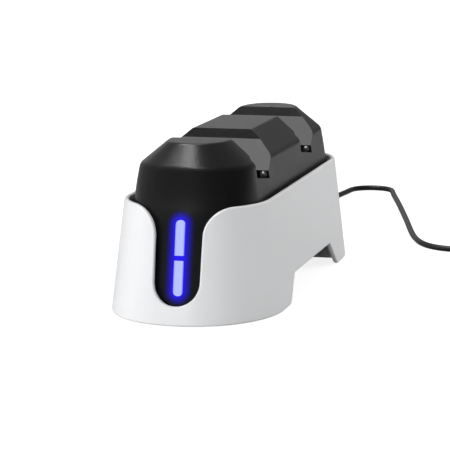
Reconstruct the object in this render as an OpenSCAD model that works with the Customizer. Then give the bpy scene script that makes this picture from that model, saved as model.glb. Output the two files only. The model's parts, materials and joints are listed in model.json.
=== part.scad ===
// Two-bay charging dock for hand-held game controllers.
// Millimetres. X across, Y front (-) to rear (+), Z up.
// Origin: centre of the footprint, on the surface the dock stands on.

/* [Overall] */
// Length of the outer shell at the floor
dock_len = 225; // [195:1:270]
// Width of the outer shell at the floor
dock_w = 77; // [72:1:100]
// Height from the floor to the top of the ridge
dock_h = 75; // [72:0.5:90]

/* [Outer shell] */
// Height of the level rim
rim_h = 49.6; // [45:0.1:50.5]
// Wall thickness
shell_wall = 2.2; // [1.6:0.1:2.6]
// Lean of the long sides, degrees
side_draft = 6.5; // [3:0.1:7]
// Lean of the rounded ends, degrees
end_draft = 10.3; // [6:0.1:12]
// Depth of each rounded end at the floor
end_depth = 46.4; // [38:0.1:52]
// Air under the bottom edge
shell_lift = 0.3; // [0.2:0.1:0.6]
// Width of the U-shaped notch in the front
notch_w = 20.8; // [16:0.1:24]
// Height of the bottom of the notch
notch_bottom_h = 8.4; // [7:0.1:12]
// Radius of the notch's shoulders at the rim
notch_shoulder_r = 12; // [5:0.5:13]
// Height of the gap under the middle of the dock
pass_h = 12.2; // [8:0.1:14]
// Length of that gap along its top
pass_len = 80; // [60:1:90]
// How far each end of the gap slopes out towards the floor
pass_slope = 13; // [8:0.5:16]
// Radius of the corners of the feet
foot_corner_r = 4; // [2:0.5:5]

/* [Ridge] */
// Width of the flat top
ridge_top_w = 27; // [24:0.5:32]
// Length of the flat top
ridge_top_len = 170; // [150:1:175]
// Depth of each rounded end of the flat top
ridge_top_cap = 19; // [12:0.5:21]
// Width at the foot of the chamfer
ridge_w = 51; // [49:0.5:53]
// Length at the foot of the chamfer
ridge_len = 185.8; // [180:0.2:190]
// Depth of each rounded end at the foot of the chamfer
ridge_cap = 23; // [18:0.5:26]
// Height of the chamfer
chamfer_h = 10.2; // [8:0.1:12]
// Sideways growth of the ridge wall for each mm below the chamfer
ridge_lean = 0.15; // [0.08:0.01:0.18]
// Height of the flare where the ridge meets the skirt
flare_h = 8; // [5:0.5:9]
// Wall thickness of the ridge and skirt
body_wall = 2.2; // [1.6:0.1:2.4]
// Set-back of the skirt and tongue behind the shell's outer face
skirt_inset = 4.4; // [3.6:0.1:4.6]

/* [Controller bays] */
// Distance between the centres of the two bays
bay_pitch = 91.8; // [88:0.2:96]
// Width of each bay at the top
bay_w = 38; // [34:0.5:40]
// Depth of the front lip, where the front wall steps forward
lip_depth = 7.6; // [6:0.1:9]
// How far the front wall is undercut below the lip
undercut = 4.4; // [3:0.1:5]
// Depth of the bay floor at its rear edge
floor_depth = 19.3; // [18:0.1:20.5]
// Fall of the bay floor from front to rear
floor_fall = 3; // [0:0.1:3.5]
// Distance from the front edge to the step at the rear of the floor
floor_len = 17.5; // [16:0.1:19]
// Height of that step
step_h = 3.5; // [3.5:0.1:4.2]
// Depth of the steep upper part of the rear wall
facet_depth = 4.5; // [3:0.1:6]
// Slope of the steep upper part, in plan
facet_run = 2.9; // [1:0.1:4]
// Depth of the contact channel below the ridge top
channel_depth = 23; // [22:0.1:24]
// Thickness of the side cheeks that close the channel
cheek = 2.6; // [2:0.1:4]

/* [Contacts] */
// Distance between the two contact pins of a bay
pin_pitch = 7; // [6:0.1:8]
// Radius of a contact pin
pin_r = 0.8; // [0.7:0.05:0.9]
// Height of a pin above its block
pin_rise = 1.6; // [1.4:0.1:2]
// Travel of a pin
pin_travel = 1.2; // [0.8:0.1:1.3]
// Radial running clearance of the pins and catch balls
run_fit = 0.05; // [0.03:0.01:0.08]

/* [Side catches] */
// Radius of a catch ball
ball_r = 1.3; // [1.2:0.05:1.35]
// How far a ball stands out of its sleeve
ball_rise = 0.7; // [0.5:0.05:0.8]
// Length of a catch sleeve
sleeve_len = 8; // [7:0.5:9]

/* [Light bar] */
// Width of the light bar
bar_w = 4.2; // [3:0.1:5]
// Height of the bottom end of the bar, along the tongue
bar_from = 12.4; // [11:0.1:14]
// Length of the lower segment
bar_lower_len = 15; // [12:0.5:16]
// Length of the upper segment
bar_upper_len = 15.2; // [12:0.2:16]
// Gap between the two segments
bar_gap = 2.2; // [1.5:0.1:3]

/* [Cord] */
// Diameter of the cord
cord_d = 3; // [2.8:0.1:3.2]
// Height of the cord where it leaves the rear
cord_exit_h = 9; // [8:0.5:10]
// Length of the tapered strain relief outside the shell
relief_len = 14; // [10:1:18]

/* [Hidden] */
$fn = 48;
eps = 0.01;
clear = 0.3;
half_len = dock_len / 2;
half_w = dock_w / 2;
cap_power = 2.1;
cap_steps = 24;

ridge_foot_z = dock_h - chamfer_h;
skirt_top_z = rim_h - 2.4;
flare_top_z = skirt_top_z + flare_h;
flange_z = 45;
flange_t = 2;
rib_t = 1.8;

// base cover
base_z = 0.3;
base_t = 2;
foot_wall_y = half_len - 45;
skirt_gap = 0.2;
foot_floor_z = base_z + base_t;
mid_floor_z = pass_h + base_t;

pad_r = 6;
pad_t = 1.6;
pad_x = half_w - 18.5;
pad_y = half_len - 24.5;

post_x = half_w - 13.3;
post_ys = [-54, 0, 54];
post_r = 3.1;
post_top_z = skirt_top_z;
screw_r = 1.3;
screw_len = 11;
screw_head_r = 2.6;
screw_head_t = 1.6;

board_w = 34;
board_len = 84;
board_t = 1.6;
board_z = mid_floor_z + 3.8;
board_hole_x = 13.5;
board_hole_y = 37;
board_screw_r = 0.95;
board_screw_len = 5;

// bay section, measured back from the front top edge and down from the ridge top
front_lean = 0.5;
slope_foot_y = floor_len + 0.4;
step_top_d = floor_depth - step_h;
bay_front_ys = [-bay_pitch / 2 - bay_w / 2, bay_pitch / 2 - bay_w / 2];
bay_section = [
    [0, -1],
    [0, 0],
    [-front_lean, lip_depth - 0.6],
    [-undercut, lip_depth + 0.8],
    [-undercut - 0.4, floor_depth - floor_fall],
    [floor_len, floor_depth],
    [floor_len, step_top_d],
    [slope_foot_y, step_top_d - 0.2],
    [bay_w - facet_run, facet_depth],
    [bay_w, 0],
    [bay_w, -1],
];
channel_from = -undercut + 0.6;
channel_half = ridge_w / 2 + ridge_lean * (channel_depth - chamfer_h) - cheek - 0.4;

// contacts
block_y = 6.5;
block_w = 15;
block_l = 8;
block_top_d = floor_depth - 1.3;
block_fit = 0.15;
flange_w = 2;
block_flange_t = 1.2;
channel_wall = 2.2;
block_foot_d = channel_depth + channel_wall + block_flange_t;
collar_r = pin_r + 0.35;
collar_t = 0.8;
guide_len = 3;
collar_top_d = block_top_d + guide_len;
contact_board_t = 1;
pin_wire_r = 0.18;

// catches
catch_x = channel_half - 0.42;
catch_d = floor_depth - step_h / 2;
sleeve_wall = 0.27;
sleeve_r = ball_r + run_fit + sleeve_wall;
sleeve_cap_t = 0.8;
catch_boss_r = sleeve_r + 0.78;
ball_back = ball_r - ball_rise;

// light bar, in the plane of the tongue
tongue_recess = skirt_inset;
lens_depth = 2.8;
lens_proud = 0.12;
lens_fit = 0.1;
led_board_gap = 3.4;
led_board_t = 1.2;
led_board_w = 11;
led_board_len = 38;
bar_len = bar_lower_len + bar_gap + bar_upper_len;
led_size = 2.8;
led_t = 1.1;

// strain relief
relief_r = 2.9;
relief_tip_r = 2.1;
relief_flange_r = 4.6;
relief_flange_t = 1.8;
relief_grooves = 4;
rear_outer_y = half_len - cord_exit_h * tan(end_draft);
rear_skirt_in_y = rear_outer_y - skirt_inset - body_wall - 1;
relief_end_y = rear_outer_y + relief_len;

// cord lying on the surface behind and beside the dock
cord_lie = cord_d / 2;
cord_path = [
    [0, relief_end_y, cord_exit_h],
    [0, relief_end_y + 8, cord_exit_h - 0.6],
    [-0.5, relief_end_y + 18, cord_exit_h - 3.6],
    [-1.5, relief_end_y + 28, cord_exit_h - 6.4],
    [-2.5, relief_end_y + 38, cord_lie],
    [-4, 190, cord_lie],
    [-5, 220, cord_lie],
    [-4.8, 250, cord_lie],
    [-3, 270, cord_lie],
    [-1, 283, cord_lie],
    [-0.5, 290, cord_lie],
    [1.2, 296.2, cord_lie],
    [5.8, 300.8, cord_lie],
    [12, 302.5, cord_lie],
    [18.2, 300.8, cord_lie],
    [22.8, 296.2, cord_lie],
    [24.8, 290, cord_lie],
    [26.5, 282, cord_lie],
    [29.5, 270, cord_lie],
    [36.5, 243, cord_lie],
    [45, 208, cord_lie],
    [52.5, 177, cord_lie],
    [60, 144, cord_lie],
    [66.5, 122, cord_lie],
    [73, 109, cord_lie],
    [81, 102, cord_lie],
    [90, 99.8, cord_lie],
    [98, 99.6, cord_lie],
    [107, 99.6, cord_lie],
];
cord_sides = 8;
cord_steps = 2;
coil_mid_r = 5.5 * cord_d;
coil_cols = 3;
coil_rows = 2;
coil_w = coil_cols * cord_d;
coil_h = coil_rows * cord_d;
coil_x = 111;
coil_y = 99.6 + coil_mid_r + cord_d;
tie_w = 5;
tie_t = 0.5;
plug_x = coil_x + coil_mid_r + cord_d;
plug_y = coil_y + 6;
plug_len = 24;
plug_w = 14;
plug_t = 7.4;
plug_tail_r = 2.4;
plug_tail_len = 14;
usb_w = 12;
usb_t = 4.5;
usb_len = 12;
usb_wall = 0.4;

white = [0.93, 0.93, 0.94];
black = [0.09, 0.09, 0.1];
gold = [0.85, 0.68, 0.3];
steel = [0.7, 0.71, 0.73];
board_green = [0.06, 0.3, 0.16];

// ---- outlines ----

// One rounded end and its mirror image, joined by straight sides.
function cap_x(w, t) = w * sign(cos(t)) * pow(abs(cos(t)), 2 / cap_power);
function cap_y(cap, t) = cap * pow(abs(sin(t)), 2 / cap_power);
function outline(w, l, cap) = concat(
    [for (i = [0 : cap_steps]) let (t = 180 * i / cap_steps) [cap_x(w, t), l - cap + cap_y(cap, t)]],
    [for (i = [0 : cap_steps]) let (t = 180 * i / cap_steps) [-cap_x(w, t), -(l - cap + cap_y(cap, t))]]
);

// The shell's outer outline at height z, drawn in by d.
function shell_outline(z, d) = outline(
    half_w - z * tan(side_draft) - d,
    half_len - z * tan(end_draft) - d,
    end_depth - z * tan(end_draft) - d
);
function ridge_outline(z, d) = outline(
    ridge_w / 2 + (ridge_foot_z - z) * ridge_lean - d,
    ridge_len / 2 + (ridge_foot_z - z) * ridge_lean * 1.2 - d,
    ridge_cap - d
);
function top_outline(d) = outline(ridge_top_w / 2 - d, ridge_top_len / 2 - d, ridge_top_cap - d);

// A solid between two outlines at two heights.
module loft(low, z0, high, z1) {
    hull() {
        translate([0, 0, z0])
            linear_extrude(eps)
                polygon(low);
        translate([0, 0, z1 - eps])
            linear_extrude(eps)
                polygon(high);
    }
}

// A shape drawn in the side view (y, z), run right across the dock.
module across(w) {
    translate([-w / 2, 0, 0])
        rotate([90, 0, 90])
            linear_extrude(w)
                children();
}

// A shape drawn in the front view (x, z), run from y0 to y1.
module along(y0, y1) {
    translate([0, y1, 0])
        rotate([90, 0, 0])
            linear_extrude(y1 - y0)
                children();
}

// Places children in the plane of the tongue: x across, y up the face, z out of it.
module on_tongue() {
    translate([0, -half_len + tongue_recess, 0])
        rotate([90 - end_draft, 0, 0])
            children();
}

module at_posts() {
    for (x = [-post_x, post_x])
        for (y = post_ys)
            translate([x, y, 0])
                children();
}

module at_pads() {
    for (x = [-pad_x, pad_x])
        for (y = [-pad_y, pad_y])
            translate([x, y, 0])
                children();
}

module at_board_holes() {
    for (x = [-board_hole_x, board_hole_x])
        for (y = [-board_hole_y, board_hole_y])
            translate([x, y, 0])
                children();
}

module at_catches(side, bay) {
    translate([side * catch_x, bay_front_ys[bay] + floor_len, dock_h - catch_d])
        rotate([-90, 0, 0])
            children();
}

module at_contacts(bay) {
    translate([0, bay_front_ys[bay] + block_y, dock_h])
        children();
}

// ---- outer shell ----

module notch_shape() {
    r = notch_w / 2;
    shoulder_z = rim_h - notch_shoulder_r;
    translate([0, notch_bottom_h + r])
        circle(r);
    translate([-r, notch_bottom_h + r])
        square([notch_w, rim_h]);
    difference() {
        translate([-r - notch_shoulder_r, shoulder_z])
            square([notch_w + 2 * notch_shoulder_r, rim_h]);
        for (x = [-1, 1])
            translate([x * (r + notch_shoulder_r), shoulder_z])
                circle(notch_shoulder_r);
    }
}

// Gap under the dock, with rounded corners on the feet.
module pass_shape() {
    a = pass_len / 2;
    b = a + pass_slope;
    r = foot_corner_r;
    polygon([[-b, -1], [-b, 0], [-a, pass_h], [a, pass_h], [b, 0], [b, -1]]);
    for (s = [-1, 1])
        scale([s, 1])
            difference() {
                translate([b - r * 0.2, -1])
                    square([r * 0.8, r * 0.6 + 1]);
                translate([b + r * 0.6, r])
                    circle(r);
            }
}

module shell_tabs() {
    tab_len = 10;
    tab_z = mid_floor_z + 0.15;
    tab_h = 1.6;
    inner = half_w - tab_z * tan(side_draft) - shell_wall;
    for (s = [-1, 1])
        for (y = [-25, 25])
            translate([s * (inner - 0.3) - 0.8, y - tab_len / 2, tab_z])
                cube([1.6, tab_len, tab_h]);
}

module outer_shell() {
    z1 = flange_z - 0.15;
    z0 = z1 - rib_t;
    color(white) {
        difference() {
            loft(shell_outline(shell_lift, 0), shell_lift, shell_outline(rim_h, 0), rim_h);
            difference() {
                loft(shell_outline(0, shell_wall), 0, shell_outline(rim_h + 1, shell_wall), rim_h + 1);
                difference() {
                    translate([-half_w, -half_len, z0])
                        cube([dock_w, dock_len, rib_t]);
                    loft(shell_outline(z0 - 1, shell_wall + 1.2), z0 - 1, shell_outline(z1 + 1, shell_wall + 1.2), z1 + 1);
                }
            }
            along(-half_len - 1, -half_len + end_depth)
                notch_shape();
            across(dock_w + 2)
                pass_shape();
            translate([0, half_len + 1, cord_exit_h])
                rotate([90, 0, 0])
                    cylinder(r = relief_r + 0.1, h = 20);
        }
        shell_tabs();
    }
}

// ---- upper body: ridge, skirt and tongue in one moulding ----

module bay_shape() {
    polygon([for (p = bay_section) [p[0], dock_h - p[1]]]);
}

module body_outer() {
    loft(shell_outline(foot_floor_z + skirt_gap, skirt_inset), foot_floor_z + skirt_gap,
        shell_outline(skirt_top_z, skirt_inset), skirt_top_z);
    loft(shell_outline(skirt_top_z, skirt_inset), skirt_top_z - eps, ridge_outline(flare_top_z, 0), flare_top_z);
    loft(ridge_outline(flare_top_z, 0), flare_top_z - eps, ridge_outline(ridge_foot_z, 0), ridge_foot_z);
    loft(ridge_outline(ridge_foot_z, 0), ridge_foot_z - eps, top_outline(0), dock_h);
}

module body_hollow() {
    in = skirt_inset + body_wall;
    roof_z = dock_h - body_wall;
    difference() {
        union() {
            loft(shell_outline(0, in), 0, shell_outline(skirt_top_z, in), skirt_top_z);
            loft(shell_outline(skirt_top_z, in), skirt_top_z - eps, ridge_outline(ridge_foot_z, body_wall), ridge_foot_z);
            loft(ridge_outline(ridge_foot_z, body_wall), ridge_foot_z - eps, top_outline(body_wall * 0.7), roof_z);
        }
        for (y = bay_front_ys)
            translate([0, y, 0]) {
                across(dock_w)
                    offset(delta = body_wall)
                        bay_shape();
                translate([-dock_w / 2, channel_from - channel_wall, dock_h - channel_depth - channel_wall])
                    cube([dock_w, floor_len - channel_from + 2 * channel_wall, channel_depth]);
            }
    }
}

module bay_cut() {
    across(dock_w)
        bay_shape();
    translate([-channel_half, channel_from, dock_h - channel_depth])
        cube([2 * channel_half, floor_len - channel_from, channel_depth - step_top_d]);
}

module skirt_arch() {
    a = foot_wall_y + base_t + skirt_gap;
    translate([-dock_w / 2, -a, 0])
        cube([dock_w, 2 * a, mid_floor_z + skirt_gap]);
}

module flange() {
    translate([0, 0, flange_z])
        difference() {
            linear_extrude(flange_t)
                polygon(shell_outline(flange_z + flange_t, shell_wall + clear));
            translate([0, 0, -1])
                linear_extrude(flange_t + 2)
                    polygon(shell_outline(flange_z, skirt_inset + body_wall / 2));
            translate([-notch_w, -dock_len, -1])
                cube([2 * notch_w, dock_len / 2 + end_depth, flange_t + 2]);
        }
}

// One segment of the light bar: its outer end (side 1 is the top one) is round, its inner end square.
module bar_segment(w, from, len, side) {
    translate([0, side > 0 ? from + len - w / 2 : from + w / 2])
        circle(w / 2);
    translate([-w / 2, side > 0 ? from : from + w / 2])
        square([w, len - w / 2]);
}

module upper_body() {
    color(black)
        difference() {
            union() {
                difference() {
                    body_outer();
                    body_hollow();
                }
                flange();
                at_posts()
                    translate([0, 0, mid_floor_z + skirt_gap])
                        cylinder(r = post_r, h = post_top_z - mid_floor_z - skirt_gap);
                for (side = [-1, 1])
                    for (bay = [0, 1])
                        at_catches(side, bay)
                            cylinder(r = catch_boss_r, h = sleeve_len + 1);
            }
            skirt_arch();
            for (y = bay_front_ys)
                translate([0, y, 0])
                    bay_cut();
            at_posts()
                cylinder(r = screw_r, h = mid_floor_z + screw_len + 1);
            for (side = [-1, 1])
                for (bay = [0, 1])
                    at_catches(side, bay)
                        translate([0, 0, -1])
                            cylinder(r = sleeve_r, h = sleeve_len + 1);
            for (bay = [0, 1])
                at_contacts(bay)
                    translate([-block_w / 2 - block_fit, -block_l / 2 - block_fit, -channel_depth - channel_wall - 1])
                        cube([block_w + 2 * block_fit, block_l + 2 * block_fit, channel_wall + 2]);
            on_tongue()
                translate([0, 0, -lens_depth - 1])
                    linear_extrude(lens_depth + 3) {
                        bar_segment(bar_w + 2 * lens_fit, bar_from - lens_fit, bar_lower_len + 2 * lens_fit, -1);
                        bar_segment(bar_w + 2 * lens_fit, bar_from + bar_lower_len + bar_gap - lens_fit,
                            bar_upper_len + 2 * lens_fit, 1);
                    }
            translate([0, half_len, cord_exit_h])
                rotate([90, 0, 0])
                    cylinder(r = relief_r + 0.05, h = 20);
        }
}

// ---- base cover ----

module base_sheet() {
    a = foot_wall_y;
    b = foot_wall_y + base_t;
    polygon([
        [-half_len, base_z], [-a, base_z], [-a, pass_h], [a, pass_h], [a, base_z], [half_len, base_z],
        [half_len, foot_floor_z], [b, foot_floor_z], [b, mid_floor_z],
        [-b, mid_floor_z], [-b, foot_floor_z], [-half_len, foot_floor_z],
    ]);
}

module base_cover() {
    color(white)
        difference() {
            union() {
                intersection() {
                    across(dock_w)
                        base_sheet();
                    loft(shell_outline(0, shell_wall + clear), 0,
                        shell_outline(mid_floor_z, shell_wall + clear), mid_floor_z);
                }
                at_board_holes()
                    translate([0, 0, mid_floor_z - eps])
                        cylinder(r = 2.6, h = board_z - mid_floor_z + eps);
            }
            at_posts()
                cylinder(r = screw_r + 0.2, h = mid_floor_z + 1);
            at_board_holes()
                translate([0, 0, board_z - board_screw_len + board_t])
                    cylinder(r = board_screw_r, h = board_screw_len);
            at_pads()
                cylinder(r = pad_r, h = pad_t);
        }
}

module foot_pads() {
    color([0.13, 0.13, 0.13])
        at_pads()
            cylinder(r = pad_r, h = pad_t);
}

module cover_screws() {
    color(steel)
        at_posts()
            translate([0, 0, pass_h]) {
                difference() {
                    translate([0, 0, -screw_head_t])
                        cylinder(r = screw_head_r, h = screw_head_t);
                    for (a = [0, 90])
                        rotate([0, 0, a])
                            translate([-1.5, -0.3, -screw_head_t - 1])
                                cube([3, 0.6, 1.9]);
                }
                cylinder(r = screw_r, h = screw_len);
            }
}

// ---- contacts ----

module contact_block(bay) {
    color(black)
        at_contacts(bay)
            difference() {
                union() {
                    translate([-block_w / 2, -block_l / 2, -block_foot_d])
                        cube([block_w, block_l, block_foot_d - block_top_d]);
                    translate([-block_w / 2 - flange_w, -block_l / 2 - flange_w, -block_foot_d])
                        cube([block_w + 2 * flange_w, block_l + 2 * flange_w, block_flange_t]);
                }
                for (x = [-pin_pitch / 2, pin_pitch / 2])
                    translate([x, 0, 0]) {
                        translate([0, 0, -block_foot_d - 1])
                            cylinder(r = pin_r + run_fit, h = block_foot_d + 1);
                        translate([0, 0, -block_foot_d - 1])
                            cylinder(r = collar_r + run_fit, h = block_foot_d + 1 - collar_top_d);
                    }
            }
}

module contact_board(bay) {
    color(board_green)
        at_contacts(bay)
            translate([-block_w / 2 - flange_w, -block_l / 2 - flange_w, -block_foot_d - contact_board_t])
                cube([block_w + 2 * flange_w, block_l + 2 * flange_w, contact_board_t]);
}

module contact_pin(side, bay) {
    tip_r = pin_r * 0.8;
    color(gold)
        at_contacts(bay)
            translate([side * pin_pitch / 2, 0, 0]) {
                translate([0, 0, -collar_top_d - collar_t / 2])
                    cylinder(r = pin_r, h = collar_t / 2 + guide_len + pin_rise - tip_r);
                translate([0, 0, -block_top_d + pin_rise - tip_r])
                    rotate_extrude()
                        intersection() {
                            translate([pin_r - tip_r, 0])
                                circle(tip_r);
                            square([pin_r, tip_r]);
                        }
                translate([0, 0, -block_top_d + pin_rise - tip_r - eps])
                    cylinder(r = pin_r - tip_r, h = tip_r + eps);
                translate([0, 0, -collar_top_d - collar_t])
                    cylinder(r = collar_r, h = collar_t - 0.02);
            }
}

// Coil spring standing on z = 0, as rings of wire climbing in a helix.
module spring(r, wire, h, turns) {
    steps = turns * 10;
    rise = (h - 2 * wire) / steps;
    ring = [for (i = [0 : steps]) for (k = [0 : 4])
        let (a = 36 * i, b = 72 * k, q = r + wire * cos(b))
            [q * cos(a), q * sin(a), wire + rise * i + wire * sin(b)]];
    sides = [for (i = [0 : steps - 1]) for (k = [0 : 4])
        let (p = 5 * i + k, q = 5 * i + (k + 1) % 5)
            [q, p, p + 5, q + 5]];
    polyhedron(ring, concat(sides, [[0, 1, 2, 3, 4]], [[for (k = [0 : 4]) 5 * steps + 4 - k]]));
}

module pin_spring(side, bay) {
    color(steel)
        at_contacts(bay)
            translate([side * pin_pitch / 2, 0, -block_foot_d + 0.02])
                spring(collar_r - 0.25, pin_wire_r, block_foot_d - collar_top_d - collar_t - 0.04, 4);
}

// ---- side catches ----

module catch_sleeves() {
    lip_t = 0.2;
    lip_r = sqrt(ball_r * ball_r - (ball_back - lip_t) * (ball_back - lip_t)) + 0.02;
    color(steel)
        for (side = [-1, 1])
            for (bay = [0, 1])
                at_catches(side, bay)
                    difference() {
                        cylinder(r = sleeve_r, h = sleeve_len);
                        translate([0, 0, -1])
                            cylinder(r = lip_r, h = 2);
                        translate([0, 0, lip_t])
                            cylinder(r = ball_r + run_fit, h = sleeve_len - lip_t - sleeve_cap_t);
                    }
}

module catch_ball(side, bay) {
    color(steel)
        at_catches(side, bay)
            translate([0, 0, ball_back])
                sphere(ball_r);
}

module catch_spring(side, bay) {
    from = ball_back + ball_r + 0.02;
    color(steel)
        at_catches(side, bay)
            translate([0, 0, from])
                spring(ball_r - 0.25, pin_wire_r, sleeve_len - sleeve_cap_t - from - 0.02, 5);
}

// ---- light bar ----

module light_lens(from, len, side) {
    color([0.72, 0.75, 1])
        on_tongue()
            translate([0, 0, -lens_depth])
                linear_extrude(lens_depth + lens_proud)
                    bar_segment(bar_w, from, len, side);
}

module light_shield() {
    wall = 1;
    w = bar_w + 2 * wall + 1;
    len = bar_len + 2 * wall + 1;
    from = bar_from - wall - 0.5;
    color(black)
        on_tongue()
            translate([0, 0, -led_board_gap - lens_depth])
                difference() {
                    translate([-w / 2, from, 0])
                        cube([w, len, led_board_gap + lens_depth - body_wall - 0.25]);
                    for (y = [from + wall, from + len / 2 + wall / 2])
                        translate([-w / 2 + wall, y, -1])
                            cube([w - 2 * wall, len / 2 - 1.5 * wall, led_board_gap + 2]);
                }
}

module led_board() {
    color(board_green)
        on_tongue()
            translate([-led_board_w / 2, bar_from + (bar_len - led_board_len) / 2,
                -lens_depth - led_board_gap - led_board_t])
                cube([led_board_w, led_board_len, led_board_t]);
}

module leds() {
    color([0.9, 0.9, 0.8])
        on_tongue()
            for (y = [bar_from + 3.5, bar_from + 11.5, bar_from + bar_len - 11.5, bar_from + bar_len - 3.5])
                translate([-led_size / 2, y - led_size / 2, -lens_depth - led_board_gap])
                    cube([led_size, led_size, led_t]);
}

// ---- main board ----

module main_board() {
    color(board_green)
        difference() {
            translate([-board_w / 2, -board_len / 2, board_z])
                cube([board_w, board_len, board_t]);
            at_board_holes()
                translate([0, 0, board_z - 1])
                    cylinder(r = board_screw_r + 0.15, h = board_t + 2);
        }
}

module board_screws() {
    color(steel)
        at_board_holes() {
            translate([0, 0, board_z + board_t])
                cylinder(r = 1.8, h = 1.2);
            translate([0, 0, board_z + board_t - board_screw_len])
                cylinder(r = board_screw_r, h = board_screw_len);
        }
}

module board_parts() {
    z = board_z + board_t;
    color([0.15, 0.15, 0.16]) {
        for (y = [-18, 18])
            translate([-3, y - 3, z])
                cube([6, 6, 1.4]);
        translate([-8, -4, z])
            cube([7, 8, 3]);
        translate([6, -2, z])
            cylinder(r = 3, h = 6);
        translate([-4, 33, z])
            cube([8, 6, 4]);
    }
}

// ---- tubes that follow a list of points ----

function unit(v) = v / norm(v);
function spline(p, i, t) =
    let (a = p[max(i - 1, 0)], b = p[i], c = p[i + 1], d = p[min(i + 2, len(p) - 1)])
    0.5 * (2 * b + (c - a) * t + (2 * a - 5 * b + 4 * c - d) * t * t + (3 * b - a - 3 * c + d) * t * t * t);
function smooth_path(p, n) = concat(
    [for (i = [0 : len(p) - 2]) for (j = [0 : n - 1]) spline(p, i, j / n)],
    [p[len(p) - 1]]
);

// Every turn of these paths is mild, so each ring is squared to the vertical.
module tube(p, r, sides) {
    last = len(p) - 1;
    rings = [for (i = [0 : last]) for (k = [0 : sides - 1])
        let (
            dir = unit(p[min(i + 1, last)] - p[max(i - 1, 0)]),
            side = unit(cross(dir, [0, 0, 1])),
            up = cross(side, dir),
            a = 360 * (k + 0.5) / sides,
            flat = 1 / cos(180 / sides)
        )
        p[i] + r * flat * (cos(a) * side + sin(a) * up)];
    walls = [for (i = [0 : last - 1]) for (k = [0 : sides - 1])
        let (a = i * sides + k, b = i * sides + (k + 1) % sides)
            [b, a, a + sides, b + sides]];
    polyhedron(rings, concat(walls,
        [[for (k = [0 : sides - 1]) k]],
        [[for (k = [0 : sides - 1]) last * sides + sides - 1 - k]]));
}

module supply_lead() {
    start_y = rear_skirt_in_y - relief_flange_t;
    path = [
        [0, start_y, cord_exit_h],
        [0, start_y - 8, cord_exit_h + 1],
        [0, foot_wall_y + 14.5, mid_floor_z + 0.8],
        [0, foot_wall_y + 6.5, mid_floor_z + 5.8],
        [0, foot_wall_y - 7.5, mid_floor_z + 7.8],
        [0, 48, board_z + 4],
        [0, 39, board_z + 4],
    ];
    color([0.1, 0.1, 0.1])
        tube(smooth_path(path, 3), 1.2, 8);
}

module strain_relief() {
    in_y = rear_skirt_in_y;
    out = rear_outer_y - in_y;
    color(black)
        translate([0, in_y, cord_exit_h])
            rotate([-90, 0, 0])
                difference() {
                    union() {
                        translate([0, 0, -relief_flange_t])
                            cylinder(r = relief_flange_r, h = relief_flange_t);
                        translate([0, 0, -0.2])
                            cylinder(r = relief_r, h = out + 1.2);
                        translate([0, 0, out + 1])
                            cylinder(r1 = relief_r, r2 = relief_tip_r, h = relief_len - 1);
                    }
                    for (k = [0 : relief_grooves - 1])
                        translate([0, 0, out + 3 + k * (relief_len - 5) / relief_grooves])
                            difference() {
                                cylinder(r = relief_r + 1, h = 1.1);
                                translate([0, 0, -1])
                                    cylinder(r = relief_tip_r - 0.2, h = 4);
                            }
                }
}

module cord() {
    color([0.06, 0.06, 0.06])
        tube([for (p = smooth_path(cord_path, cord_steps)) [p[0], p[1], max(p[2], cord_lie)]],
            cord_d / 2, cord_sides);
}

module cord_coil() {
    color([0.06, 0.06, 0.06])
        translate([coil_x, coil_y, 0])
            difference() {
                rotate_extrude()
                    translate([coil_mid_r - coil_w / 2, 0])
                        square([coil_w, coil_h]);
                tie_band(0);
            }
}

module tie_band(cut) {
    rotate([0, 0, 90])
        translate([coil_mid_r - coil_w / 2 - tie_t, -tie_w / 2, 0])
            difference() {
                cube([coil_w + 2 * tie_t, tie_w, coil_h + tie_t]);
                translate([tie_t, -1, tie_t])
                    cube([coil_w, tie_w + 2, coil_h - tie_t]);
            }
}

module cord_tie() {
    color([0.12, 0.12, 0.12])
        translate([coil_x, coil_y, 0])
            tie_band(0);
}

// ---- plug ----

module plug_body() {
    r = 1.5;
    color(black)
        difference() {
            union() {
                translate([plug_x - plug_w / 2 + r, plug_y + plug_tail_len, 0])
                    cube([plug_w - 2 * r, plug_len, plug_t]);
                translate([plug_x - plug_w / 2, plug_y + plug_tail_len, r])
                    cube([plug_w, plug_len, plug_t - 2 * r]);
                for (x = [-plug_w / 2 + r, plug_w / 2 - r])
                    for (z = [r, plug_t - r])
                        translate([plug_x + x, plug_y + plug_tail_len, z])
                            rotate([-90, 0, 0])
                                cylinder(r = r, h = plug_len);
                translate([plug_x, plug_y, plug_t / 2])
                    rotate([-90, 0, 0])
                        cylinder(r1 = 1.7, r2 = plug_tail_r, h = plug_tail_len + eps);
            }
            translate([plug_x - usb_w / 2, plug_y + plug_tail_len + plug_len - 4, (plug_t - usb_t) / 2])
                cube([usb_w, 5, usb_t]);
        }
}

module plug_shell() {
    translate([plug_x - usb_w / 2, plug_y + plug_tail_len + plug_len - 4, (plug_t - usb_t) / 2])
        color(steel)
            difference() {
                cube([usb_w, usb_len + 4, usb_t]);
                translate([usb_wall, 1, usb_wall])
                    cube([usb_w - 2 * usb_wall, usb_len + 4, usb_t - 2 * usb_wall]);
                for (x = [2.3, usb_w - 4.6])
                    translate([x, 8, -1])
                        cube([2.3, 2.3, usb_t + 2]);
            }
}

module plug_tongue() {
    translate([plug_x - usb_w / 2 + usb_wall, plug_y + plug_tail_len + plug_len - 3, (plug_t - usb_t) / 2 + usb_wall])
        color([0.9, 0.9, 0.9])
            cube([usb_w - 2 * usb_wall, usb_len + 2, 1.7]);
}

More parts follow.
